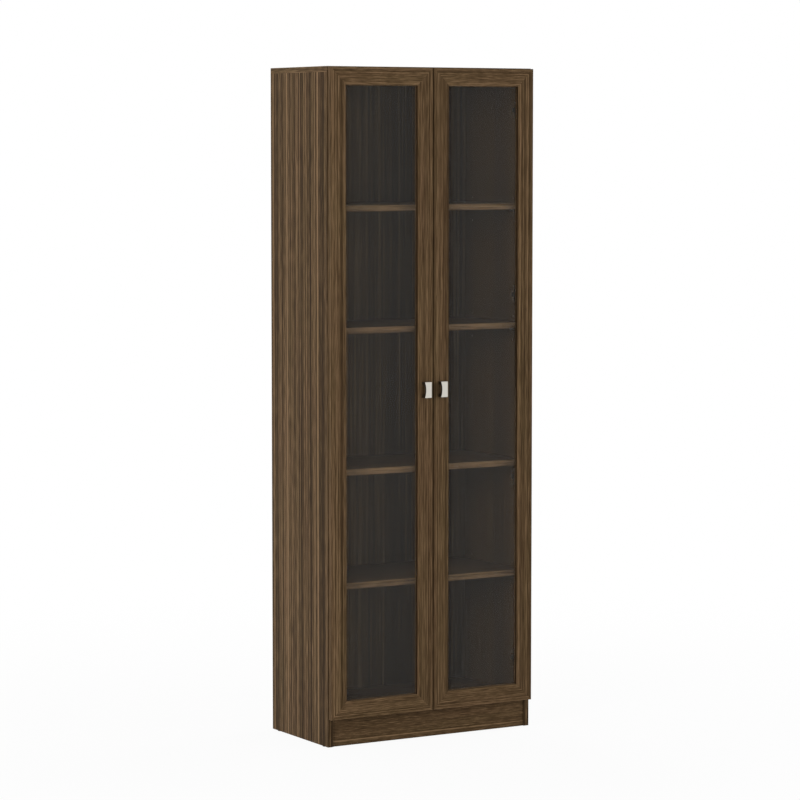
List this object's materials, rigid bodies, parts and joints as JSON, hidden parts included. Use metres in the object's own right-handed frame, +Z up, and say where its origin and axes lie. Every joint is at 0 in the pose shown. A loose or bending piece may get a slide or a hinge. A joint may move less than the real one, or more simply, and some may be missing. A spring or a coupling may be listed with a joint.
{
  "type": "bookcase with glass doors",
  "caption": "Tall bookcase of dark wood-grain boards with full-height framed glass doors on concealed hinges, small bow handles, shelves and a recessed plinth.",
  "frame": {"origin": "on the floor, in the middle of the width and of the whole depth with the handles", "axes": "+X to the right seen from the front, +Y towards the back, +Z up"},
  "size_m": [0.63, 0.3495, 1.8],
  "materials": {
    "board": "dark brown wood-grain foil on board, satin",
    "frame": "dark brown wood-grain foil on the moulding, satin",
    "back_board": "thin hardboard, dark brown face",
    "dowel": "plain beech",
    "glass": "clear float glass",
    "handle": "satin silver",
    "steel": "nickel plated",
    "zinc": "die-cast zinc alloy",
    "glide": "dark brown plastic",
    "bumper": "translucent soft bumper"
  },
  "bodies": {
    "case": {"side_panel_left": "board", "side_panel_right": "board", "top_panel": "board", "bottom_panel": "board", "plinth_board": "board", "shelf_fixed": "board", "shelf_lower": "board", "shelf_middle": "board", "shelf_upper": "board", "shelf_pins": "steel", "back_panel_lower": "back_board", "back_panel_upper": "back_board", "back_nails": "steel", "cam_locks": "zinc", "cam_bolts": "steel", "board_dowels": "dowel", "floor_glides": "glide", "hinge_plates_left": "steel", "hinge_plates_right": "steel", "plate_screws_left": "steel", "plate_screws_right": "steel", "hinge_arms_left": "steel", "hinge_arms_right": "steel"},
    "left_hinge_links": {"hinge_links_left": "steel", "hinge_pins_left": "steel"},
    "left_door": {"door_hinge_stile_left": "frame", "door_handle_stile_left": "frame", "door_bottom_rail_left": "frame", "door_top_rail_left": "frame", "mitre_dowels_left": "dowel", "glass_pane_left": "glass", "glazing_beads_left": "frame", "handle_left": "handle", "handle_screws_left": "steel", "door_bumpers_left": "bumper", "hinge_cups_left": "steel", "cup_screws_left": "steel"},
    "right_hinge_links": {"hinge_links_right": "steel", "hinge_pins_right": "steel"},
    "right_door": {"door_hinge_stile_right": "frame", "door_handle_stile_right": "frame", "door_bottom_rail_right": "frame", "door_top_rail_right": "frame", "mitre_dowels_right": "dowel", "glass_pane_right": "glass", "glazing_beads_right": "frame", "handle_right": "handle", "handle_screws_right": "steel", "door_bumpers_right": "bumper", "hinge_cups_right": "steel", "cup_screws_right": "steel"}
  },
  "joints": [
    {"name": "left_link_swing", "type": "hinge", "parent": "case", "child": "left_hinge_links", "pos_m": [-0.291, -0.14225, 0.9375], "axis": [0, 0, 1], "range_deg": [0, 35]},
    {"name": "left_door_swing", "type": "hinge", "parent": "left_hinge_links", "child": "left_door", "pos_m": [-0.3051, -0.14735, 0.9375], "axis": [0, 0, -1], "range_deg": [0, 130], "stiffness_Nm_per_rad": 0.2},
    {"name": "right_link_swing", "type": "hinge", "parent": "case", "child": "right_hinge_links", "pos_m": [0.291, -0.14225, 0.9375], "axis": [0, 0, -1], "range_deg": [0, 35]},
    {"name": "right_door_swing", "type": "hinge", "parent": "right_hinge_links", "child": "right_door", "pos_m": [0.3051, -0.14735, 0.9375], "axis": [0, 0, 1], "range_deg": [0, 130], "stiffness_Nm_per_rad": 0.2}
  ],
  "couplings": [
    {"joint": "left_link_swing", "follows": "left_door_swing", "ratio": 0.2692},
    {"joint": "right_link_swing", "follows": "right_door_swing", "ratio": 0.2692}
  ]
}
